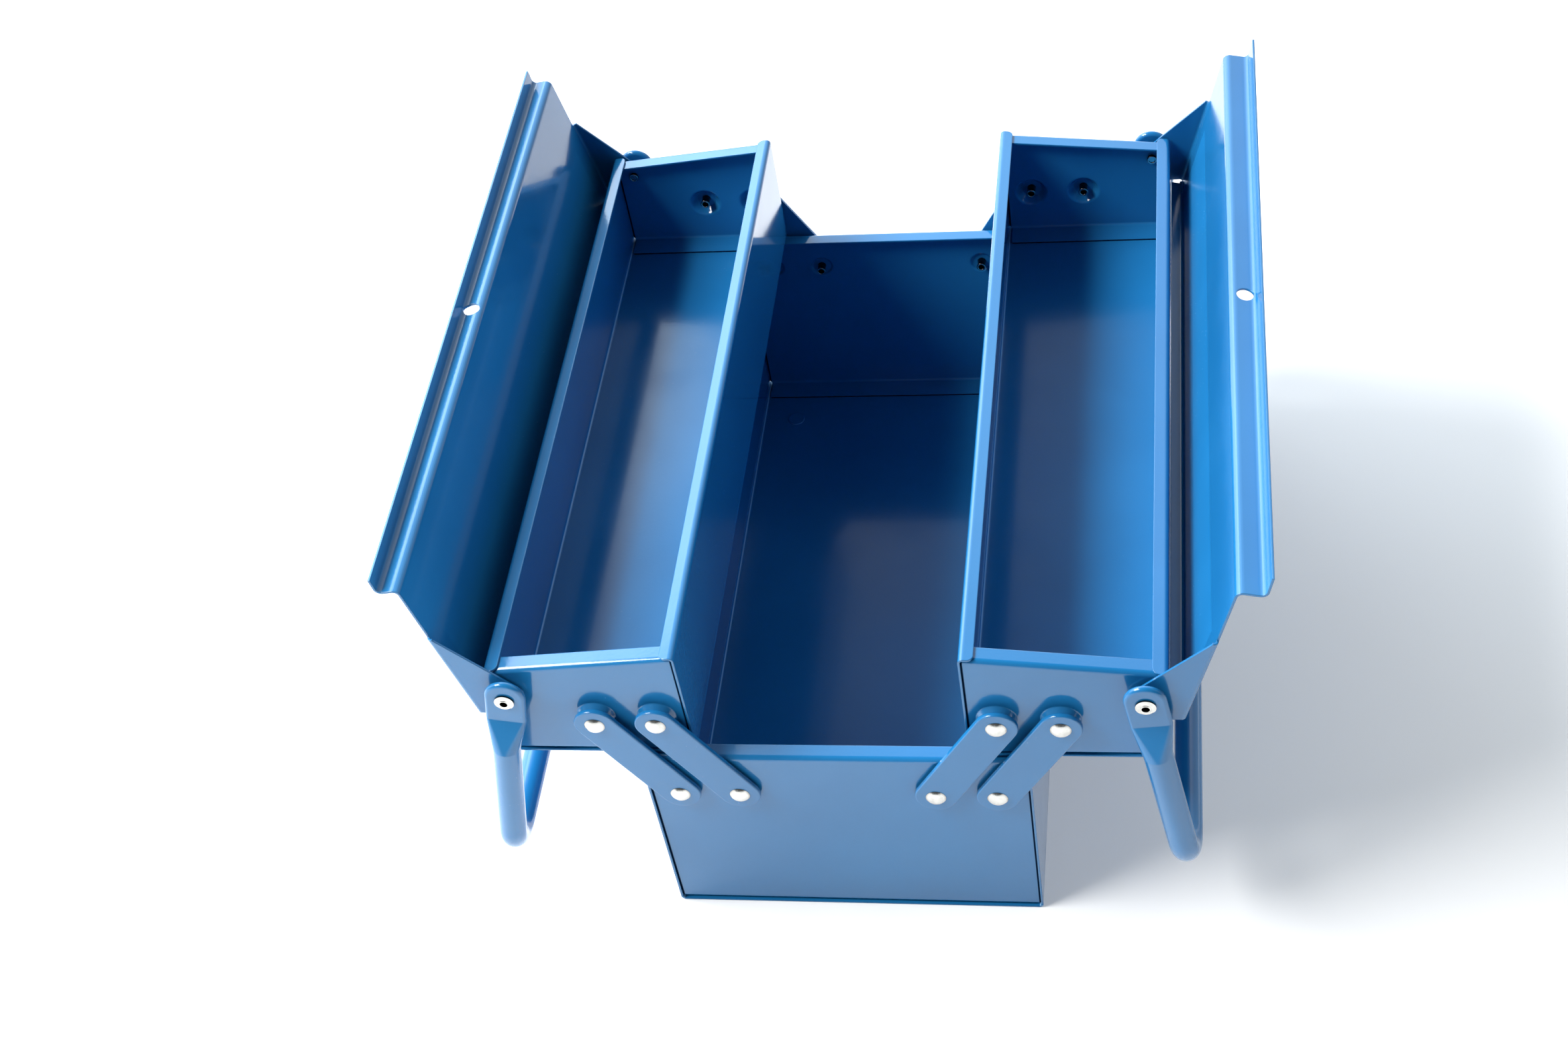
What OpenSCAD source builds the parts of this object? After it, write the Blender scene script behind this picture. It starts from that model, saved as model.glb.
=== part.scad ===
// Cantilever tool box: a folded sheet base and two trays that swing out on flat arms,
// with a hinged lid and a tube handle on each tray. Modelled open, in millimetres.
// X runs across the box, Y along it (the front end is at -Y), Z is up from the base's underside.

/* [Base] */
// Length of the base over its sheet ends
body_l = 350; // [280:5:420]
// Width of the base over its side walls
body_w = 171; // [150:1:200]
// Height of the base over its rims
body_h = 112.5; // [90:0.5:140]
// Thickness of the sheet steel
sheet_t = 1; // [0.8:0.1:1.2]
// Inner radius of the folds in the sheet
fold_r = 1.2; // [0.8:0.1:1.5]
// Width of the rims folded in along the side walls
rim_w = 6.5; // [5:0.5:9]
// Rounding of the free corners of the rims
rim_corner_r = 3; // [1:0.5:4]
// Width of the flange along the top of each end plate
top_flange_w = 7.7; // [5:0.1:10]
// Width of the flange that fixes each end plate to the floor
floor_flange_w = 13; // [8:0.5:16]
// How far the base's end plates stand inside the ends of its shell
base_inset = 0.8; // [0.4:0.1:1.2]
// Diameter of the four shallow pressings in the floor
pressing_d = 9; // [6:1:14]
// Distance of the floor pressings from the side walls
pressing_side = 19.5; // [15:0.5:25]
// Distance of the floor pressings from the ends of the base
pressing_end = 31; // [25:1:40]

/* [Trays] */
// Height of each tray's inner wall
tray_inner_h = 64.9; // [58:0.1:75]
// Height of each tray's outer wall
tray_outer_h = 55.8; // [52:0.1:58]
// Gap from each closed tray to the middle of the box
closed_gap = 0.5; // [0.3:0.1:1]
// Gap between a tray's floor and the base's rims
rest_gap = 0.4; // [0.3:0.1:0.8]
// How much shorter than the base each tray is, at each end
tray_setback = 3; // [3:0.1:4]
// How far the trays' end plates stand inside the ends of their shells
tray_inset = 0.4; // [0.2:0.1:0.8]

/* [Swing arms] */
// Distance between an arm's two rivets
arm_centres = 57.5; // [54:0.5:62]
// Angle of the arms from upright, with the trays open and with them closed
arm_lean = 30.8; // [26:0.1:32]
// Width of an arm, rounded at both ends
arm_w = 18.4; // [16:0.1:20]
// Thickness of an arm
arm_t = 2; // [1.5:0.1:2.5]
// Rounding of an arm's outer edges
arm_edge_r = 0.6; // [0.2:0.1:0.8]
// Gap from the ends of the base to the arms
arm_clear = 0.5; // [0.3:0.1:1]
// Distance between the two rivets on one side
rivet_pitch = 26.9; // [26:0.1:30]
// Distance from a tray's inner wall to its first rivet
tray_rivet_x = 13.6; // [13.2:0.1:16]
// Distance of the base's rivets below the rim
base_rivet_drop = 23.6; // [20:0.1:26]
// Radius of the flat top of the pressed bosses that carry the arms
boss_r = 5.6; // [5:0.1:7]
// Slope of the sides of the pressed bosses
boss_slope = 52; // [50:1:70]
// Diameter of the rivets' shanks
rivet_d = 4.2; // [4:0.1:5]
// Diameter of the domed rivet heads on the arms
rivet_head_d = 9; // [8:0.1:10]
// Height of the domed rivet heads
rivet_head_h = 2.2; // [1.5:0.1:2.5]
// Diameter of the hole in a rivet's tubular end
rivet_tube_d = 3; // [2:0.1:3.4]
// How far a handle rivet's rolled end stands out on the inside
rivet_end_t = 1.4; // [0.8:0.1:2]
// How far an arm rivet's tubular end stands out on the inside
arm_tail_l = 4.8; // [1:0.1:6]
// Thickness of the rolled lip on that end
rivet_lip_t = 1; // [0.8:0.1:1.2]
// Running clearance of a hole around its rivet
running_fit = 0.06; // [0.03:0.01:0.1]
// Play between an arm and what lies on each side of it
arm_play = 0.1; // [0.05:0.05:0.2]

/* [Handles] */
// Diameter of the handle tube
tube_d = 12.5; // [11:0.5:14]
// Distance from the handle's pivot to the middle of its grip
handle_reach = 110; // [105:1:125]
// Radius of the two bends, to the middle of the tube
handle_bend_r = 17; // [12:1:24]
// Width of the flattened ears
ear_w = 17.8; // [16:0.1:20]
// Thickness of the flattened ears
ear_t = 3.3; // [3:0.1:3.6]
// Distance from the pivot to the crease where the ear stops being flat
ear_drop = 13.8; // [12:0.1:18]
// Length over which the ear slopes out and draws in to the tube
ear_blend = 15.5; // [12:0.5:24]
// Height of the shoulder on the handle's rivet, which holds the ear off the lid
ear_stand = 2.1; // [1:0.1:3]
// Rise of the ear's round end above the pivot
ear_rise = 1.8; // [0:0.1:2]
// Distance from the tray's outer wall in to the handle's pivot
pivot_in = 9.2; // [8:0.1:10]
// Height of the handle's pivot above the tray's floor
pivot_up = 45.1; // [44:0.1:46]
// Lean of the hanging left handle away from the box
left_hang = 10.4; // [9:0.1:12]
// Lean of the hanging right handle away from the box
right_hang = 8.6; // [8.5:0.1:12]
// Diameter of the hollow rivet heads on the handles
handle_head_d = 8.6; // [8:0.1:10]
// Height of the hollow rivet heads
handle_head_h = 1.5; // [1:0.1:2]
// Diameter of the hollow in those heads
handle_hollow_d = 3.4; // [2:0.1:3.6]

/* [Lids] */
// Overhang of a closed lid past the handle's pivot
lid_overhang = 14.3; // [13:0.1:15]
// Height of a closed lid's outer corner above the pivot
lid_rise = 19.1; // [18:0.1:20]
// Distance from the pivot in to the crease along the lid
crease_in = 37.5; // [30:0.1:40]
// Slope of the outer panel up to the crease
outer_slope = 3.3; // [2:0.1:5]
// Slope of the inner panel beyond the crease
inner_slope = 2.6; // [1:0.1:3]
// Distance from the pivot in to the upright strip at the lid's edge
strip_in = 66.5; // [62:0.1:67]
// Height of the upright strip on the left lid
left_strip_h = 9.2; // [8:0.1:10]
// Height of the upright strip on the right lid, whose flange lies over the left one
right_strip_h = 11.4; // [11:0.1:13]
// Inner radius of the two folds along the strips
strip_fold_r = 2.2; // [1.2:0.1:2.4]
// Width of the flange on the left lid
left_flange_w = 8.8; // [7:0.1:9]
// Width of the flange on the right lid
right_flange_w = 11.5; // [9:0.1:12]
// Angle from closed at which the left lid rests open
left_lid_open = 98.9; // [90:0.1:104]
// Angle from closed at which the right lid rests open
right_lid_open = 101.8; // [90:0.1:104]
// Gap between an open lid's skirt and the tray wall that stops it
stop_gap = 0.3; // [0.2:0.1:0.5]
// Gap from the ends of a tray to its lid's cheeks
cheek_gap = 1; // [0.3:0.1:1.2]
// Outer radius of the fold between a lid and its cheeks
cheek_fold_r = 2.3; // [1.6:0.1:2.4]
// Radius of the cheek's round end
cheek_eye_r = 6.4; // [5:0.1:8]
// How far outward of the pivot the middle of that round end lies
cheek_eye_out = 2.6; // [0:0.1:3]
// Depth of the cheek's straight outer edge above the pivot
cheek_edge_z = 12; // [10:0.5:14]
// Width of the slot between a cheek and the skirt
slot_w = 1.6; // [1:0.1:2.5]
// Diameter of the padlock holes
lock_d = 7.6; // [5:0.1:7.6]
// Height of the padlock hole above the foot of the left lid's strip
left_lock_up = 4.3; // [4:0.1:5]
// Height of the padlock hole above the foot of the right lid's strip
right_lock_up = 5.8; // [4.3:0.1:6]

/* [Hidden] */
$fn = 64;
bend_steps = 6;
sheet_fit = 0.05;
fold_lap = 0.3;
fold_notch = 1;
crease_notch = 0.4;
shoulder_gap = 0.3;
shoulder_r = 4;
handle_lip_w = 0.7;
handle_hollow_h = 5;
lock_reach = 1.5;
blue = "#2f6fb8";
nickel = "#d9dadc";

travel = 2 * arm_centres * sin(arm_lean);
arm_rise = arm_centres * cos(arm_lean);
tray_w = body_w / 2 - closed_gap;
tray_x = closed_gap + travel;
tray_z = body_h + rest_gap;
tray_slope = atan((tray_inner_h - tray_outer_h) / tray_w);
tray_end = body_l / 2 - tray_setback;
base_plate_y = body_l / 2 - base_inset;
tray_plate_y = tray_end - tray_inset;
base_rivet_x = closed_gap + tray_rivet_x + travel / 2;
base_rivet_z = body_h - base_rivet_drop;
tray_rivet_z = base_rivet_z + arm_rise - tray_z;
arm_y = body_l / 2 + arm_clear;
base_boss_h = arm_y - arm_play - base_plate_y;
tray_boss_h = arm_y - arm_play - tray_plate_y;
boss_lap = 1;
boss_fold_r = 0.7;
cheek_y = tray_end + cheek_gap;
cheek_out = cheek_y + sheet_t;
panel_end = cheek_out - cheek_fold_r;
ear_y = cheek_out + 2 * shoulder_gap + ear_stand;
leg_y = arm_y + tube_d / 2;
pivot_x = tray_w - pivot_in;
pressing_h = 0.7;

// ---- Folded sheet: an outline from the line that the sheet's outer face follows ----

function toward(a, b) = (b - a) / norm(b - a);
function left_of(u) = [-u.y, u.x];
function turned(u, a) = [u.x * cos(a) - u.y * sin(a), u.x * sin(a) + u.y * cos(a)];
function turn_angle(u, v) = atan2(u.x * v.y - u.y * v.x, u * v);

// Points around one fold at q, for the face that lies "inward" from the outer face
function fold_points(p, q, r, inner_r, inward) =
    let (
        u = toward(p, q),
        a = turn_angle(u, toward(q, r)),
        side = sign(a),
        radius = side > 0 ? inner_r + sheet_t : inner_r,
        centre = q - u * radius * tan(abs(a) / 2) + left_of(u) * radius * side
    )
    [for (k = [0 : bend_steps]) centre - turned(left_of(u), a * k / bend_steps) * (side * radius - inward)];

function face_points(path, inner_r, inward) =
    let (last = len(path) - 1)
    concat(
        [path[0] + left_of(toward(path[0], path[1])) * inward],
        [for (i = [1 : last - 1])
            each fold_points(path[i - 1], path[i], path[i + 1], is_list(inner_r) ? inner_r[i - 1] : inner_r, inward)],
        [path[last] + left_of(toward(path[last - 1], path[last])) * inward]
    );

function backward(points) = [for (i = [len(points) - 1 : -1 : 0]) points[i]];

// The sheet lies to the left of the path; inner_r is one radius, or a list with one for each fold
module sheet_section(path, inner_r = fold_r) {
    polygon(concat(face_points(path, inner_r, 0), backward(face_points(path, inner_r, sheet_t))));
}

// ---- Placing: every piece is drawn for the right side and the front end ----

module on_side(side) {
    mirror([side < 0 ? 1 : 0, 0, 0]) children();
}

module at_end(end) {
    mirror([0, end < 0 ? 1 : 0, 0]) children();
}

// Turns an XZ outline into a solid that grows toward the front from the given y
module plate(from_y, thickness) {
    translate([0, -from_y, 0]) rotate([90, 0, 0]) linear_extrude(thickness) children();
}

module along_y(length) {
    translate([0, length / 2, 0]) rotate([90, 0, 0]) linear_extrude(length) children();
}

module on_tray(side) {
    on_side(side) translate([tray_x, 0, tray_z]) children();
}

module on_pivot(side) {
    on_tray(side) translate([pivot_x, 0, pivot_up]) children();
}

// ---- Shells ----

// Cuts the free corner of a rim to a radius, at a shell's front end
module rim_corner(x, z, end_y, way) {
    depth = 4 * sheet_t + rim_w * sin(tray_slope);
    translate([x, -end_y, z - depth / 2]) mirror([way < 0 ? 1 : 0, 0, 0]) difference() {
        translate([-rim_corner_r, -1, 0]) cube([rim_corner_r + 1, rim_corner_r + 1, depth]);
        translate([-rim_corner_r, rim_corner_r, -1]) cylinder(r = rim_corner_r, h = depth + 2);
    }
}

module shell(width, inner_h, outer_h, half_l) {
    slope = atan((inner_h - outer_h) / width);
    rim = [cos(slope), -sin(slope)] * rim_w;
    path = [
        [0, inner_h] + rim, [0, inner_h], [0, 0],
        [width, 0], [width, outer_h], [width, outer_h] - rim
    ];
    difference() {
        along_y(2 * half_l) sheet_section(path);
        for (end = [1, -1]) at_end(end) {
            rim_corner(rim.x, inner_h + rim.y, half_l, 1);
            rim_corner(width - rim.x, outer_h - rim.y, half_l, -1);
        }
    }
}

module base_shell() color(blue) {
    difference() {
        union() {
            translate([-body_w / 2, 0, 0]) shell(body_w, body_h, body_h, body_l / 2);
            floor_pressings(pressing_d / 2, pressing_h + sheet_t);
        }
        translate([0, 0, -1]) floor_pressings(pressing_d / 2 - sheet_t, pressing_h + 1);
    }
}

module floor_pressings(radius, height) {
    for (side = [1, -1], end = [1, -1])
        translate([side * (body_w / 2 - pressing_side), end * (body_l / 2 - pressing_end), 0])
            cylinder(r = radius, h = height);
}

module tray_shell(side) color(blue) {
    on_tray(side) shell(tray_w, tray_inner_h, tray_outer_h, tray_end);
}

// ---- End plates, with a top flange, a floor flange and pressed bosses for the arms ----

module boss(height) {
    run = height / tan(boss_slope);
    path = [[boss_r + run + boss_lap, 0], [boss_r + run, 0], [boss_r, height], [rivet_hole_r(), height]];
    rotate([90, 0, 0]) rotate_extrude() sheet_section(path, boss_fold_r);
}

function rivet_hole_r() = rivet_d / 2 + running_fit;

module end_plate(width, inner_h, outer_h, face_y, boss_h, rivets, holes) {
    boss_hole_r = boss_r + boss_h / tan(boss_slope) + boss_lap;
    difference() {
        union() {
            end_web(width, inner_h, outer_h, face_y);
            end_floor_flange(width, face_y);
        }
        end_top_round(width, inner_h, outer_h, face_y);
        for (at = rivets) end_hole(at, face_y, boss_hole_r);
        for (at = holes) end_hole(at, face_y, rivet_hole_r());
    }
    for (at = rivets) translate([at.x, -face_y, at.y]) boss(boss_h);
}

module end_hole(at, face_y, radius) {
    translate([at.x, 1 - face_y + sheet_t, at.y]) rotate([90, 0, 0]) cylinder(r = radius, h = sheet_t + 2);
}

// The web and the flange along its top, which falls with the undersides of the rims toward the outer wall
module end_web(width, inner_h, outer_h, face_y) {
    near = sheet_t + sheet_fit;
    far = width - near;
    fall = (inner_h - outer_h) / width;
    near_top = inner_h - sheet_t - fall * near;
    far_top = inner_h - sheet_t - fall * far;
    join_z = 2 * (fold_r + sheet_t);
    plate(face_y - sheet_t, sheet_t) polygon([[near, join_z], [far, join_z], [far, far_top], [near, near_top]]);
    plate(face_y - top_flange_w, top_flange_w)
        polygon([[near, near_top - sheet_t], [far, far_top - sheet_t], [far, far_top], [near, near_top]]);
}

// What lies outside the rounded fold along the top; the arc meets both faces at a slight angle
module end_top_round(width, inner_h, outer_h, face_y) {
    round_r = fold_r + sheet_t;
    translate([0, -face_y, inner_h - sheet_t]) rotate([0, atan((inner_h - outer_h) / width), 0])
        translate([-width / 2, 0, 0]) rotate([90, 0, 90]) linear_extrude(2 * width) difference() {
            translate([-1, -round_r]) square([1 + round_r, 1 + round_r]);
            translate([round_r, -round_r]) circle(round_r * 1.004);
        }
}

// The flange on the floor and the foot of the web, with corners cut to clear the folds of the shell
module end_floor_flange(width, face_y) {
    near = sheet_t + sheet_fit;
    corner = fold_r + sheet_t;
    join_z = 2 * corner;
    intersection() {
        rotate([90, 0, 90]) linear_extrude(width)
            sheet_section([[-face_y, join_z], [-face_y, sheet_t], [floor_flange_w - face_y, sheet_t]]);
        plate(face_y - 2 * floor_flange_w, 3 * floor_flange_w) polygon([
            [near + corner, 0], [width - near - corner, 0], [width - near - corner, sheet_t],
            [width - near, sheet_t + corner], [width - near, 2 * join_z],
            [near, 2 * join_z], [near, sheet_t + corner], [near + corner, sheet_t]
        ]);
    }
}

module base_end(end) color(blue) {
    rivets = [for (side = [1, -1], i = [0, 1]) [body_w / 2 + side * (base_rivet_x + i * rivet_pitch), base_rivet_z]];
    at_end(end) translate([-body_w / 2, 0, 0])
        end_plate(body_w, body_h, body_h, base_plate_y, base_boss_h, rivets, []);
}

module tray_end_plate(side, end) color(blue) {
    rivets = [for (i = [0, 1]) [tray_rivet_x + i * rivet_pitch, tray_rivet_z]];
    at_end(end) on_tray(side)
        end_plate(tray_w, tray_inner_h, tray_outer_h, tray_plate_y, tray_boss_h, rivets, [[pivot_x, pivot_up]]);
}

// ---- Swing arms: stamped bars with round ends and softened outer edges ----

module half_bar() {
    half_w = arm_w / 2;
    square([half_w - arm_edge_r, arm_t]);
    square([half_w, arm_t - arm_edge_r]);
    translate([half_w - arm_edge_r, arm_t - arm_edge_r]) circle(arm_edge_r);
}

module arm(side, end, rank) color(blue) {
    at_end(end) on_side(side)
        translate([base_rivet_x + rank * rivet_pitch, -arm_y, base_rivet_z]) rotate([0, arm_lean, 0]) difference() {
            union() {
                linear_extrude(arm_centres) for (half = [0, 1]) mirror([half, 0]) mirror([0, 1]) half_bar();
                rotate([90, 0, 0]) rotate([0, 0, 180]) rotate_extrude(angle = 180) half_bar();
                translate([0, 0, arm_centres]) rotate([90, 0, 0]) rotate_extrude(angle = 180) half_bar();
            }
            for (at = [0, arm_centres])
                translate([0, 1, at]) rotate([90, 0, 0]) cylinder(r = rivet_hole_r(), h = arm_t + 2);
        }
}

// ---- Handles: a bent tube with flattened ears ----

// A flattened tube's section, half of it about the middle line
module half_ear() {
    translate([0, -ear_t / 2]) square([(ear_w - ear_t) / 2, ear_t]);
    translate([(ear_w - ear_t) / 2, 0]) circle(d = ear_t);
}

module ear() {
    difference() {
        union() {
            translate([0, 0, ear_rise]) rotate([90, 0, 0]) rotate_extrude(angle = 180) half_ear();
            translate([0, 0, -ear_drop]) linear_extrude(ear_drop + ear_rise)
                for (half = [0, 1]) mirror([half, 0]) half_ear();
        }
        translate([0, ear_t, 0]) rotate([90, 0, 0]) cylinder(r = rivet_hole_r(), h = 2 * ear_t);
    }
}

// From the flat ear to the round tube, leaving a V-shaped slope on the front
module ear_to_tube(ear_mid_y) {
    slice = 0.2;
    hull() {
        translate([0, -ear_mid_y, -ear_drop]) linear_extrude(slice)
            for (half = [0, 1]) mirror([half, 0]) half_ear($fn = 32);
        translate([0, -leg_y, -ear_drop - ear_blend]) cylinder(d = tube_d, h = slice, $fn = 48);
    }
}

module handle_half() {
    ear_mid_y = ear_y + ear_t / 2;
    straight_top = -ear_drop - ear_blend;
    bend_z = handle_bend_r - handle_reach;
    bend_y = leg_y - handle_bend_r;
    translate([0, -ear_mid_y, 0]) ear();
    ear_to_tube(ear_mid_y);
    translate([0, -leg_y, bend_z]) cylinder(d = tube_d, h = straight_top - bend_z);
    translate([0, -bend_y, bend_z]) rotate([90, 0, 90]) rotate([0, 0, 180])
        rotate_extrude(angle = 90) translate([handle_bend_r, 0]) circle(d = tube_d);
    translate([0, 0, -handle_reach]) rotate([90, 0, 0]) cylinder(d = tube_d, h = bend_y);
}

module handle(side, hang) color(blue) {
    on_pivot(side) rotate([0, -hang, 0]) for (end = [1, -1]) at_end(end) handle_half();
}

// ---- Lids: drawn about the handle's pivot with the outer panel level, then turned open ----

// A point given for the closed lid, in the frame where the outer panel is level
function on_lid(p) = turned(p, outer_slope);

outer_corner = [lid_overhang, lid_rise];
crease = [-crease_in, lid_rise + (lid_overhang + crease_in) * tan(outer_slope)];
strip_foot = [-strip_in, crease.y + (strip_in - crease_in) * tan(inner_slope)];

// Length of the skirt whose edge meets the tray's outer wall when the lid is open
function skirt_h(open) =
    (lid_rise * sin(open) + lid_overhang * cos(open) - pivot_in - stop_gap) / sin(open);

cheek_eye = on_lid([cheek_eye_out, 0]);

// A point just inside the cheek's round end, where a line from p comes in beside it
function eye_touch(p, side) =
    let (from_eye = p - cheek_eye, a = atan2(from_eye.y, from_eye.x) + side * acos(cheek_eye_r / norm(from_eye)))
    cheek_eye + 0.98 * cheek_eye_r * [cos(a), sin(a)];

// The cheek, from below its fold to around the pivot
module cheek_outline() {
    inner_top = on_lid(crease) + [crease_notch, -cheek_fold_r];
    edge_foot = on_lid([lid_overhang, cheek_edge_z]);
    translate(cheek_eye) circle(cheek_eye_r);
    polygon([
        eye_touch(inner_top, 1), inner_top, on_lid(outer_corner) - [fold_notch, cheek_fold_r],
        edge_foot, eye_touch(edge_foot, -1)
    ]);
}

// The rounded fold from the panel down to the cheek, lapping into both
module cheek_fold() {
    length = on_lid(outer_corner).x - on_lid(crease).x - fold_notch - crease_notch;
    translate([on_lid(crease).x + crease_notch, -panel_end, on_lid(crease).y - cheek_fold_r])
        rotate([90, 0, 90]) linear_extrude(length) {
            difference() {
                intersection() {
                    circle(cheek_fold_r);
                    translate([-cheek_fold_r, 0]) square(cheek_fold_r);
                }
                circle(cheek_fold_r - sheet_t);
            }
            translate([0, cheek_fold_r - sheet_t]) square([fold_lap, sheet_t]);
            translate([-cheek_fold_r, -fold_lap]) square([sheet_t, fold_lap]);
        }
}

module lid(side, open, strip_h, flange_w, lock_up) color(blue) {
    strip_top = strip_foot + [0, strip_h];
    skirt_edge = outer_corner - [0, skirt_h(open)];
    path = [skirt_edge, outer_corner, crease, strip_foot, strip_top, strip_top - [flange_w, 0]];
    lock_start = on_lid(strip_foot + [-strip_fold_r - sheet_t, lock_up]);
    on_pivot(side) rotate([0, open + outer_slope, 0]) difference() {
        union() {
            along_y(2 * panel_end)
                sheet_section([for (p = path) on_lid(p)], [fold_r, fold_r, strip_fold_r, strip_fold_r]);
            for (end = [1, -1]) at_end(end) {
                cheek_fold();
                plate(cheek_y, sheet_t) cheek_outline();
            }
        }
        for (end = [1, -1]) at_end(end) {
            // Slot between the skirt and the cheek
            translate([lid_overhang - 3 * sheet_t, -panel_end - sheet_fit, on_lid(skirt_edge).y - 1])
                cube([4 * sheet_t, slot_w, skirt_h(open) + 1 - fold_r - sheet_t]);
            translate([0, 1 - cheek_y, 0]) rotate([90, 0, 0]) cylinder(r = rivet_hole_r(), h = sheet_t + 2);
        }
        translate([lock_start.x, 0, lock_start.y]) rotate([0, 90 - outer_slope, 0])
            cylinder(d = lock_d, h = strip_fold_r + sheet_t + lock_reach);
    }
}

// ---- Rivets ----

// Drawn along its axis: the head's seat is at zero and the shank runs down through "grip"
module arm_rivet(grip) {
    dome_r = (pow(rivet_head_d / 2, 2) + pow(rivet_head_h, 2)) / (2 * rivet_head_h);
    rotate_extrude() difference() {
        union() {
            intersection() {
                translate([0, rivet_head_h - dome_r]) circle(dome_r);
                square([rivet_head_d / 2, rivet_head_h]);
            }
            rivet_shank(grip + arm_tail_l);
        }
        translate([-rivet_d, -2 * grip - arm_tail_l]) square([rivet_d + rivet_tube_d / 2, 2 * grip]);
    }
}

// Half the section of a shank, with the lip rolled over at its end
module rivet_shank(length) {
    translate([0, -length]) square([rivet_d / 2, length]);
    translate([rivet_tube_d / 2 + rivet_lip_t / 2, -length]) circle(d = rivet_lip_t);
}

module handle_rivet(grip) {
    edge_h = handle_head_h / 2;
    lip_r = handle_hollow_d / 2 + handle_lip_w;
    shoulder_y = -ear_t - arm_play - shoulder_gap;
    rotate_extrude() difference() {
        union() {
            polygon([
                [0, 0], [handle_head_d / 2, 0], [handle_head_d / 2, edge_h], [handle_head_d / 2 - edge_h, edge_h * 1.6],
                [lip_r, edge_h * 1.7], [lip_r - handle_lip_w / 3, handle_head_h], [0, handle_head_h]
            ]);
            rivet_shank(grip + rivet_end_t);
            translate([0, shoulder_y - ear_stand]) square([shoulder_r, ear_stand]);
        }
        translate([-rivet_d, handle_head_h - handle_hollow_h]) square([rivet_d + handle_hollow_d / 2, grip]);
    }
}

module base_rivets(side) color(nickel) {
    for (end = [1, -1], rank = [0, 1]) at_end(end) on_side(side)
        translate([base_rivet_x + rank * rivet_pitch, -arm_y - arm_t - arm_play, base_rivet_z])
            rotate([90, 0, 0]) arm_rivet(arm_t + 2 * arm_play + sheet_t + sheet_fit);
}

module tray_rivets(side) color(nickel) {
    for (end = [1, -1], rank = [0, 1]) at_end(end) on_tray(side)
        translate([tray_rivet_x + rank * rivet_pitch, -arm_y - arm_t - arm_play, tray_rivet_z])
            rotate([90, 0, 0]) arm_rivet(arm_t + 2 * arm_play + sheet_t + sheet_fit);
}

module handle_rivets(side) color(nickel) {
    head_y = ear_y + ear_t + arm_play;
    for (end = [1, -1]) at_end(end) on_pivot(side) translate([0, -head_y, 0]) rotate([90, 0, 0])
        handle_rivet(head_y - tray_plate_y + sheet_t + sheet_fit);
}

base_shell();
base_end(1);  // base_end_front
base_end(-1);  // base_end_rear
tray_shell(-1);  // left_tray_shell
tray_end_plate(-1, 1);  // left_tray_end_front
tray_end_plate(-1, -1);  // left_tray_end_rear
tray_shell(1);  // right_tray_shell
tray_end_plate(1, 1);  // right_tray_end_front
tray_end_plate(1, -1);  // right_tray_end_rear
lid(-1, left_lid_open, left_strip_h, left_flange_w, left_lock_up);  // left_lid
lid(1, right_lid_open, right_strip_h, right_flange_w, right_lock_up);  // right_lid
handle(-1, left_hang);  // left_handle
handle(1, right_hang);  // right_handle
arm(-1, 1, 0);  // left_inner_arm_front
arm(-1, -1, 0);  // left_inner_arm_rear
arm(-1, 1, 1);  // left_outer_arm_front
arm(-1, -1, 1);  // left_outer_arm_rear
arm(1, 1, 0);  // right_inner_arm_front
arm(1, -1, 0);  // right_inner_arm_rear
arm(1, 1, 1);  // right_outer_arm_front
arm(1, -1, 1);  // right_outer_arm_rear
base_rivets(-1);  // left_base_rivets
base_rivets(1);  // right_base_rivets
tray_rivets(-1);  // left_tray_rivets
tray_rivets(1);  // right_tray_rivets
handle_rivets(-1);  // left_handle_rivets
handle_rivets(1);  // right_handle_rivets
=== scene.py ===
"""Looks for an open cantilever tool box: glossy blue enamel on folded steel sheet, with plated rivets.

Lengths are in metres. Noise scales are in waves per metre.
"""
import bpy
import math
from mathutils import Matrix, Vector

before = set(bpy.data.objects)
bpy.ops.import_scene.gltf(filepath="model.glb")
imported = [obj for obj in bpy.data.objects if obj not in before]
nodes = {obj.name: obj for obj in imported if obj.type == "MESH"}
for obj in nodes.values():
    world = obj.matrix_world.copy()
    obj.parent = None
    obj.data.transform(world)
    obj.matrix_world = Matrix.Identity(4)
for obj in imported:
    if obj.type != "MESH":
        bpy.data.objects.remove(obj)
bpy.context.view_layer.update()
X, Y, Z = range(3)

# ---- Camera: looks down at the open box from in front, a little tilted ----

CAMERA_PLACE = (0.15518, -0.75083, 0.89848)
CAMERA_TURN_DEG = (42.768, 7.833, 6.644)
CAMERA_LENS_MM = 52.12
SENSOR_WIDTH_MM = 36
CAMERA_NEAREST = 0.01


def make_camera():
    data = bpy.data.cameras.new("camera")
    data.sensor_width = SENSOR_WIDTH_MM
    data.lens = CAMERA_LENS_MM
    data.clip_start = CAMERA_NEAREST
    camera = bpy.data.objects.new("camera", data)
    camera.location = CAMERA_PLACE
    camera.rotation_euler = [math.radians(turn) for turn in CAMERA_TURN_DEG]
    bpy.context.scene.collection.objects.link(camera)
    bpy.context.scene.camera = camera


# ---- Node helpers ----

# Sockets of a colour Mix node, which share their names with its hidden ones
MIX_FACTOR, MIX_A, MIX_B, MIX_RESULT = 0, 6, 7, 2


def new_material(name):
    material = bpy.data.materials.new(name)
    material.use_nodes = True
    tree = material.node_tree
    tree.nodes.clear()
    output = tree.nodes.new("ShaderNodeOutputMaterial")
    shader = tree.nodes.new("ShaderNodeBsdfPrincipled")
    tree.links.new(shader.outputs["BSDF"], output.inputs["Surface"])
    return material, tree, shader


def set_inputs(node, values):
    """Sets sockets by name, where an underscore may stand for a space."""
    for key, value in values.items():
        node.inputs[key.replace("_", " ")].default_value = value
    return node


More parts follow.
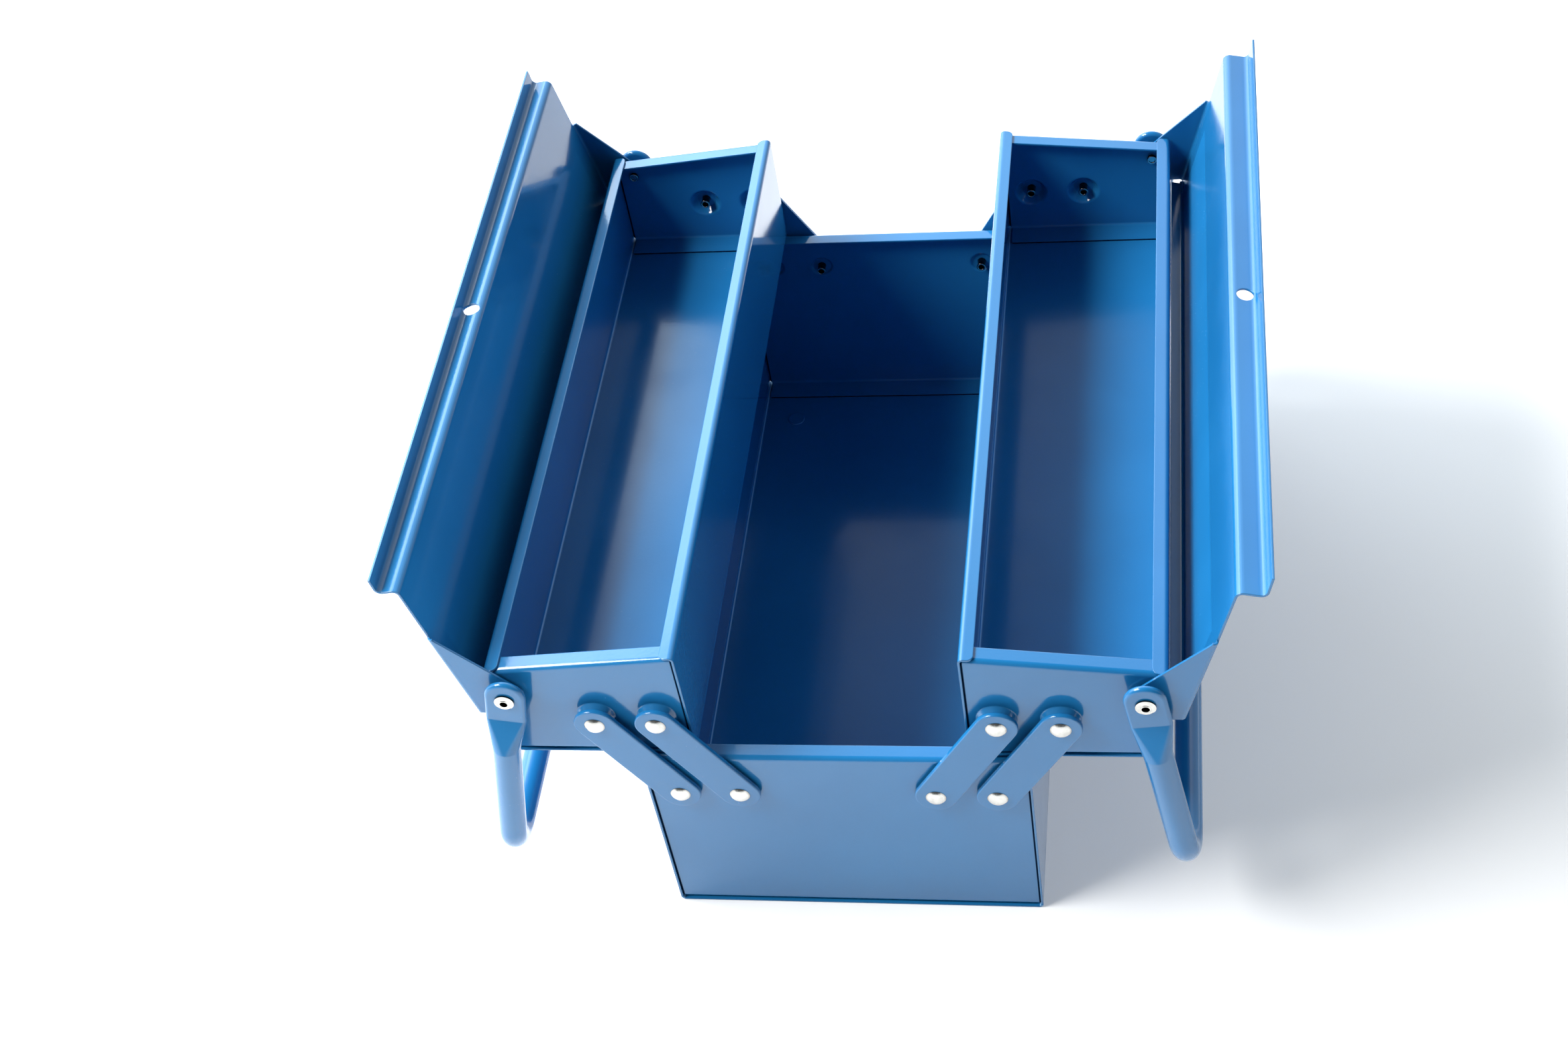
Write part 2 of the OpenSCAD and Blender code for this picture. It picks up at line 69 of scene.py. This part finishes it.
def add(tree, kind, settings=None, **values):
    node = tree.nodes.new(kind)
    for key, value in (settings or {}).items():
        setattr(node, key, value)
    return set_inputs(node, values)


def add_group(tree, group, **values):
    return set_inputs(add(tree, "ShaderNodeGroup", {"node_tree": group}), values)


def coordinates(tree, kind):
    return tree.nodes.new("ShaderNodeTexCoord").outputs[kind]


def split(tree, vector):
    node = tree.nodes.new("ShaderNodeSeparateXYZ")
    tree.links.new(vector, node.inputs[0])
    return node.outputs


def noise(tree, vector, scale, detail=2.0, roughness=0.5):
    node = add(tree, "ShaderNodeTexNoise", Scale=scale, Detail=detail, Roughness=roughness)
    tree.links.new(vector, node.inputs["Vector"])
    return node.outputs["Fac"]


def spread(tree, value, low, high, to_low=0.0, to_high=1.0):
    """Maps low..high to to_low..to_high and stops at both ends."""
    node = add(tree, "ShaderNodeMapRange", From_Min=low, From_Max=high, To_Min=to_low, To_Max=to_high)
    tree.links.new(value, node.inputs["Value"])
    return node.outputs["Result"]


def calculate(tree, operation, a, b=0):
    node = add(tree, "ShaderNodeMath", {"operation": operation})
    for socket, value in zip(node.inputs, (a, b)):
        if isinstance(value, (int, float)):
            socket.default_value = value
        else:
            tree.links.new(value, socket)
    return node.outputs[0]


def distance(tree, value, place):
    return calculate(tree, "ABSOLUTE", calculate(tree, "SUBTRACT", value, place))


def flat_colour(tree, colour):
    socket = tree.nodes.new("ShaderNodeRGB").outputs[0]
    socket.default_value = (*colour, 1)
    return socket


def mix_colours(tree, factor, colour_a, colour_b):
    node = add(tree, "ShaderNodeMix", {"data_type": "RGBA"})
    tree.links.new(factor, node.inputs[MIX_FACTOR])
    tree.links.new(colour_a, node.inputs[MIX_A])
    tree.links.new(colour_b, node.inputs[MIX_B])
    return node.outputs[MIX_RESULT]


def new_group(name, inputs, outputs):
    group = bpy.data.node_groups.new(name, "ShaderNodeTree")
    for label, kind, value in inputs:
        socket = group.interface.new_socket(label, in_out="INPUT", socket_type=kind)
        socket.default_value = value
    for label, kind in outputs:
        group.interface.new_socket(label, in_out="OUTPUT", socket_type=kind)
    start = group.nodes.new("NodeGroupInput")
    end = group.nodes.new("NodeGroupOutput")
    return group, start.outputs, end.inputs


def use_skin(tree, shader, skin, normal, strength, relief):
    """Joins a skin's roughness and relief to the shader, over the given normal."""
    bump = add(tree, "ShaderNodeBump", Strength=strength, Distance=relief)
    tree.links.new(normal, bump.inputs["Normal"])
    tree.links.new(skin.outputs["Height"], bump.inputs["Height"])
    tree.links.new(bump.outputs["Normal"], shader.inputs["Normal"])
    tree.links.new(skin.outputs["Roughness"], shader.inputs["Roughness"])


# ---- Enamel: a sprayed film that varies in depth, with a faint ripple and fine dust ----

DEEP_BLUE = (0.010, 0.140, 0.345)
THIN_BLUE = (0.014, 0.165, 0.395)
CLOUD_SCALE = 9.0
CLOUD_RANGE = (0.35, 0.65)
SMEAR_SCALE = 26.0
SMEAR_RANGE = (0.45, 0.75)
SMEAR_DULLNESS = 0.09
SPECK_SCALE = 900.0
SPECK_RANGE = (0.72, 0.78)
SPECK_DULLNESS = 0.10
PEEL_SCALE = 650.0
PEEL_SHARE = 0.3
RIPPLE_SCALE = 38.0
RELIEF = 0.0006
RELIEF_STRENGTH = 0.12

# Roughness and ripple of the sheets, the lids, and the arms and tubes
SHEET_FINISH = (0.10, 1.0)
LID_FINISH = (0.11, 0.9)
BAR_FINISH = (0.14, 0.6)

PAINT_IOR = 1.52
SPECULAR = 0.5
COAT = 0.2
COAT_ROUGHNESS = 0.06
EDGE_ROUND = 0.0006
EDGE_SAMPLES = 6

# The film is dry and dull where the spray bounced, on the floors and deep in the lids.
# Each of them keeps a share of the gloss.
DRY_ROUGHNESS = 0.05
DRY_EDGE = 0.003
FLOOR_RISE = 0.0021
BASE_FLOOR_GLOSS = 0.22
LEFT_FLOOR_GLOSS = 0.46
RIGHT_FLOOR_GLOSS = 0.20
LID_INSIDE_GLOSS = 0.15
LID_DRY_TOP = 0.182
LID_DRY_HALF_LENGTH = 0.160
LID_DRY_END = 0.002

# A painted highlight, a pale line, runs along the fold between a floor and its walls, at this height.
FOLD_HIGHLIGHT_RISE = 0.00135
FOLD_HIGHLIGHT_WIDTHS = (0.0002, 0.0003)
FOLD_HIGHLIGHT_COLOUR = (0.22, 0.42, 0.66)

# Painted shade of the groove where an end plate meets the folded sheet: a dark line runs up both sides
# and along the foot of the plate.
GROOVE_SHADE_WIDTH = 0.0010
GROOVE_SHADE_CORE = 0.7
GROOVE_SHADE_COLOUR = (0.001, 0.010, 0.030)


def make_enamel_group():
    group, given, result = new_group(
        "enamel film",
        [("Deep", "NodeSocketColor", (0, 0, 0, 1)), ("Thin", "NodeSocketColor", (1, 1, 1, 1)),
         ("Roughness", "NodeSocketFloat", 0.1), ("Ripple", "NodeSocketFloat", 1.0)],
        [("Colour", "NodeSocketColor"), ("Roughness", "NodeSocketFloat"), ("Height", "NodeSocketFloat")])
    place = coordinates(group, "Object")
    clouds = spread(group, noise(group, place, CLOUD_SCALE, detail=3.0), *CLOUD_RANGE)
    group.links.new(mix_colours(group, clouds, given["Deep"], given["Thin"]), result["Colour"])
    smears = noise(group, place, SMEAR_SCALE, detail=6.0, roughness=0.6)
    smears = spread(group, smears, *SMEAR_RANGE, 0.0, SMEAR_DULLNESS)
    specks = noise(group, place, SPECK_SCALE, detail=1.0)
    specks = spread(group, specks, *SPECK_RANGE, 0.0, SPECK_DULLNESS)
    dullness = calculate(group, "ADD", smears, specks)
    group.links.new(calculate(group, "ADD", dullness, given["Roughness"]), result["Roughness"])
    peel = calculate(group, "MULTIPLY", noise(group, place, PEEL_SCALE), PEEL_SHARE)
    height = calculate(group, "ADD", peel, noise(group, place, RIPPLE_SCALE, detail=1.0))
    group.links.new(calculate(group, "MULTIPLY", height, given["Ripple"]), result["Height"])
    return group


def enamel(name, film, roughness, ripple):
    """Glossy enamel, with the sheet's sharp edges shaded as slightly round."""
    material, tree, shader = new_material(name)
    skin = add_group(tree, film, Deep=(*DEEP_BLUE, 1), Thin=(*THIN_BLUE, 1),
                     Roughness=roughness, Ripple=ripple)
    soft_edges = add(tree, "ShaderNodeBevel", {"samples": EDGE_SAMPLES}, Radius=EDGE_ROUND)
    use_skin(tree, shader, skin, soft_edges.outputs["Normal"], RELIEF_STRENGTH, RELIEF)
    tree.links.new(skin.outputs["Colour"], shader.inputs["Base Color"])
    set_inputs(shader, {"IOR": PAINT_IOR, "Specular IOR Level": SPECULAR,
                        "Coat Weight": COAT, "Coat Roughness": COAT_ROUGHNESS})
    return material, tree, shader


def scale_shine(tree, shader, share):
    for name, full in (("Specular IOR Level", SPECULAR), ("Coat Weight", COAT)):
        tree.links.new(calculate(tree, "MULTIPLY", share, full), shader.inputs[name])


def draw_line(tree, shader, mask, colour):
    base = shader.inputs["Base Color"]
    under = base.links[0].from_socket
    tree.links.new(mix_colours(tree, mask, under, flat_colour(tree, colour)), base)


def dry_film(tree, shader, wet, gloss_share):
    """Makes the film duller and rougher where wet is 0."""
    scale_shine(tree, shader, spread(tree, wet, 0.0, 1.0, gloss_share, 1.0))
    roughness = shader.inputs["Roughness"]
    added = spread(tree, wet, 0.0, 1.0, DRY_ROUGHNESS, 0.0)
    tree.links.new(calculate(tree, "ADD", roughness.links[0].from_socket, added), roughness)


def extent(name, axis):
    """Lowest and highest place of a node along an axis."""
    places = [vertex.co[axis] for vertex in nodes[name].data.vertices]
    return min(places), max(places)


def shell_enamel(name, film, shell, gloss_share):
    """Enamel of a box's folded sheet, with a dry floor and a painted highlight, a pale line, along its
    folds.
    """
    material, tree, shader = enamel(name, film, *SHEET_FINISH)
    foot = extent(shell, Z)[0]
    up = split(tree, coordinates(tree, "Object"))[Z]
    dry_film(tree, shader, spread(tree, up, foot + FLOOR_RISE, foot + FLOOR_RISE + DRY_EDGE), gloss_share)
    # Painted highlight: a pale line where the fold at the foot would catch the light.
    from_fold = distance(tree, up, foot + FOLD_HIGHLIGHT_RISE)
    draw_line(tree, shader, spread(tree, from_fold, *FOLD_HIGHLIGHT_WIDTHS, 1.0, 0.0), FOLD_HIGHLIGHT_COLOUR)
    return material


def lid_enamel(name, film):
    """Enamel of a lid, dry deep inside it but not at its ends."""
    material, tree, shader = enamel(name, film, *LID_FINISH)
    across, along, up = split(tree, coordinates(tree, "Object"))
    high = spread(tree, up, LID_DRY_TOP, LID_DRY_TOP + DRY_EDGE)
    from_middle = calculate(tree, "ABSOLUTE", along)
    at_end = spread(tree, from_middle, LID_DRY_HALF_LENGTH, LID_DRY_HALF_LENGTH + LID_DRY_END)
    facing = split(tree, coordinates(tree, "Normal"))[X]
    outside = calculate(tree, "GREATER_THAN", calculate(tree, "MULTIPLY", across, facing), 0)
    wet = calculate(tree, "MAXIMUM", high, calculate(tree, "MAXIMUM", at_end, outside))
    dry_film(tree, shader, wet, LID_INSIDE_GLOSS)
    return material


def end_enamel(end, film):
    """Enamel of an end plate, with painted shade of the groove, as dark lines, where it meets the folded
    sheet.
    """
    material, tree, shader = enamel(end + "_enamel", film, *SHEET_FINISH)
    across, _, up = split(tree, coordinates(tree, "Object"))
    left, right = extent(end, X)
    foot = extent(end, Z)[0]
    half_width = (right - left) / 2
    # Painted shade: the groove at the plate's sides and foot is coloured dark and loses its shine.
    from_middle = distance(tree, across, (left + right) / 2)
    beside = spread(tree, from_middle, half_width - GROOVE_SHADE_WIDTH, half_width - GROOVE_SHADE_WIDTH * GROOVE_SHADE_CORE)
    above = spread(tree, up, foot + GROOVE_SHADE_WIDTH * GROOVE_SHADE_CORE, foot + GROOVE_SHADE_WIDTH)
    groove_shade = calculate(tree, "MAXIMUM", beside, calculate(tree, "SUBTRACT", 1.0, above))
    draw_line(tree, shader, groove_shade, GROOVE_SHADE_COLOUR)
    scale_shine(tree, shader, calculate(tree, "SUBTRACT", 1.0, groove_shade))
    return material


# ---- Plating: bright nickel with a slight tarnish and tumbling marks ----

NICKEL = (0.60, 0.59, 0.56)
TARNISH = (0.45, 0.44, 0.41)
NICKEL_ROUGHNESS = 0.13
TARNISH_SCALE = 300.0
TARNISH_RANGE = (0.45, 0.8)
MARK_SCALE = 1400.0
MARK_RANGE = (0.4, 0.7)
MARK_DULLNESS = 0.1
DENT_SCALE = 700.0
DENT_RELIEF = 0.0003
DENT_STRENGTH = 0.1

# Rivets lie along Y. Their domes are shaded flatter than they are, and carry a painted shade, a dark
# ring, where they are steep.
DOME_FLATNESS = 0.6
RIM_SHADE_SLOPE = (0.62, 0.74)
RIM_SHADE_COLOUR = (0.05, 0.05, 0.05)


def make_plating_group():
    group, given, result = new_group(
        "nickel plating",
        [("Bright", "NodeSocketColor", (1, 1, 1, 1)), ("Tarnish", "NodeSocketColor", (0, 0, 0, 1)),
         ("Roughness", "NodeSocketFloat", 0.1)],
        [("Colour", "NodeSocketColor"), ("Roughness", "NodeSocketFloat"), ("Height", "NodeSocketFloat")])
    place = coordinates(group, "Object")
    stain = noise(group, place, TARNISH_SCALE, detail=4.0, roughness=0.6)
    stain = spread(group, stain, *TARNISH_RANGE)
    group.links.new(mix_colours(group, stain, given["Bright"], given["Tarnish"]), result["Colour"])
    marks = spread(group, noise(group, place, MARK_SCALE, detail=3.0), *MARK_RANGE, 0.0, MARK_DULLNESS)
    group.links.new(calculate(group, "ADD", marks, given["Roughness"]), result["Roughness"])
    group.links.new(noise(group, place, DENT_SCALE), result["Height"])
    return group


def flattened(tree, facing):
    """The surface's normal, turned toward Y and given in world space."""
    flatter = add(tree, "ShaderNodeVectorMath", {"operation": "MULTIPLY"})
    flatter.inputs[1].default_value = (DOME_FLATNESS, 1, DOME_FLATNESS)
    unit = add(tree, "ShaderNodeVectorMath", {"operation": "NORMALIZE"})
    turned = add(tree, "ShaderNodeVectorTransform",
                 {"vector_type": "NORMAL", "convert_from": "OBJECT", "convert_to": "WORLD"})
    tree.links.new(facing, flatter.inputs[0])
    tree.links.new(flatter.outputs[0], unit.inputs[0])
    tree.links.new(unit.outputs[0], turned.inputs[0])
    return turned.outputs[0]


def plating(name, group):
    material, tree, shader = new_material(name)
    skin = add_group(tree, group, Bright=(*NICKEL, 1), Tarnish=(*TARNISH, 1), Roughness=NICKEL_ROUGHNESS)
    facing = coordinates(tree, "Normal")
    use_skin(tree, shader, skin, flattened(tree, facing), DENT_STRENGTH, DENT_RELIEF)
    # Painted shade: a dark ring on the steep rim of each dome.
    top = spread(tree, calculate(tree, "ABSOLUTE", split(tree, facing)[Y]), *RIM_SHADE_SLOPE)
    colour = mix_colours(tree, top, flat_colour(tree, RIM_SHADE_COLOUR), skin.outputs["Colour"])
    tree.links.new(colour, shader.inputs["Base Color"])
    shader.inputs["Metallic"].default_value = 1.0
    return material


# ---- Each piece gets its material ----

def dress_all():
    film = make_enamel_group()
    base = shell_enamel("base_enamel", film, "base_shell", BASE_FLOOR_GLOSS)
    left_tray = shell_enamel("left_tray_enamel", film, "left_tray_shell", LEFT_FLOOR_GLOSS)
    right_tray = shell_enamel("right_tray_enamel", film, "right_tray_shell", RIGHT_FLOOR_GLOSS)
    lids = lid_enamel("lid_enamel", film)
    ends = {name: end_enamel(name, film) for name in nodes if "_end_" in name}
    arms = enamel("arm_enamel", film, *BAR_FINISH)[0]
    tubes = enamel("tube_enamel", film, *BAR_FINISH)[0]
    rivets = plating("rivet_nickel", make_plating_group())
    # The first entry whose words are in the piece's name gives its material.
    looks = {"rivets": rivets, **ends, "arm": arms, "lid": lids, "handle": tubes,
             "left_tray": left_tray, "right_tray": right_tray, "base": base}
    for name, piece in nodes.items():
        slots = piece.data.materials
        slots.clear()
        slots.append(next(look for words, look in looks.items() if words in name))


# ---- Floor: a pale sweep that glows a little, so that its shadows stay light ----

FLOOR_SIZE = 80
FLOOR_DROP = 0.0002
FLOOR_DARKER = (0.81, 0.81, 0.81)
FLOOR_LIGHTER = (0.83, 0.83, 0.83)
FLOOR_CLOUD_SCALE = 3.0
FLOOR_CLOUD_RANGE = (0.3, 0.7)
FLOOR_ROUGHNESS = 0.7
FLOOR_SPECULAR = 0.1
FLOOR_GLOW = 0.22


def make_floor():
    bpy.ops.object.select_all(action="DESELECT")
    bpy.ops.mesh.primitive_plane_add(size=FLOOR_SIZE)
    floor = bpy.context.active_object
    floor.name = "floor"
    floor.location.z = -FLOOR_DROP
    material, tree, shader = new_material("pale_floor")
    clouds = noise(tree, coordinates(tree, "Object"), FLOOR_CLOUD_SCALE)
    tint = spread(tree, clouds, *FLOOR_CLOUD_RANGE)
    white = mix_colours(tree, tint, flat_colour(tree, FLOOR_DARKER), flat_colour(tree, FLOOR_LIGHTER))
    tree.links.new(white, shader.inputs["Base Color"])
    set_inputs(shader, {"Roughness": FLOOR_ROUGHNESS, "Specular IOR Level": FLOOR_SPECULAR,
                        "Emission Color": (1, 1, 1, 1), "Emission Strength": FLOOR_GLOW})
    floor.data.materials.append(material)


# ---- Studio: bright walls behind and to the left, dim overhead, to the right and in front ----

SKY_COLOUR = (0.88, 0.95, 1.0, 1)
WALL_BRIGHTNESS = 2.0
CEILING_SHARE = 0.05
FRONT_SHARE = 0.07
LEFT_SHARE = 1.8
RIGHT_SHARE = 0.42
# Where one part of the sky passes into the next, as parts of a unit vector
WALL_TOP = (0.74, 0.88)
FRONT_EDGE = (-0.4, 0.15)
SIDE_EDGE = (-0.6, 0.6)


def make_sky():
    world = bpy.data.worlds.new("studio")
    world.use_nodes = True
    tree = world.node_tree
    across, along, up = split(tree, coordinates(tree, "Generated"))
    height = spread(tree, up, *WALL_TOP, WALL_BRIGHTNESS, WALL_BRIGHTNESS * CEILING_SHARE)
    depth = spread(tree, along, *FRONT_EDGE, FRONT_SHARE, 1.0)
    side = spread(tree, across, *SIDE_EDGE, LEFT_SHARE, RIGHT_SHARE)
    strength = calculate(tree, "MULTIPLY", calculate(tree, "MULTIPLY", height, depth), side)
    sky = tree.nodes["Background"]
    sky.inputs["Color"].default_value = SKY_COLOUR
    tree.links.new(strength, sky.inputs["Strength"])
    bpy.context.scene.world = world


def area_light(name, place, size, power, colour):
    """A soft box that points at the origin, with its power in watts."""
    data = bpy.data.lights.new(name, "AREA")
    data.shape = "RECTANGLE"
    data.size, data.size_y = size
    data.energy = power
    data.color = colour
    lamp = bpy.data.objects.new(name, data)
    lamp.location = place
    lamp.rotation_euler = (-Vector(place)).to_track_quat("-Z", "Y").to_euler()
    bpy.context.scene.collection.objects.link(lamp)


def make_lights():
    make_sky()
    area_light("key", place=(-1.26, -0.2, 1.78), size=(1.6, 0.8), power=86, colour=(1.0, 0.99, 0.97))
    area_light("window", place=(-1.18, 1.52, 1.60), size=(1.3, 0.75), power=12, colour=(0.62, 0.82, 1.0))


bpy.context.scene.view_settings.view_transform = "Standard"
make_camera()
dress_all()
make_floor()
make_lights()
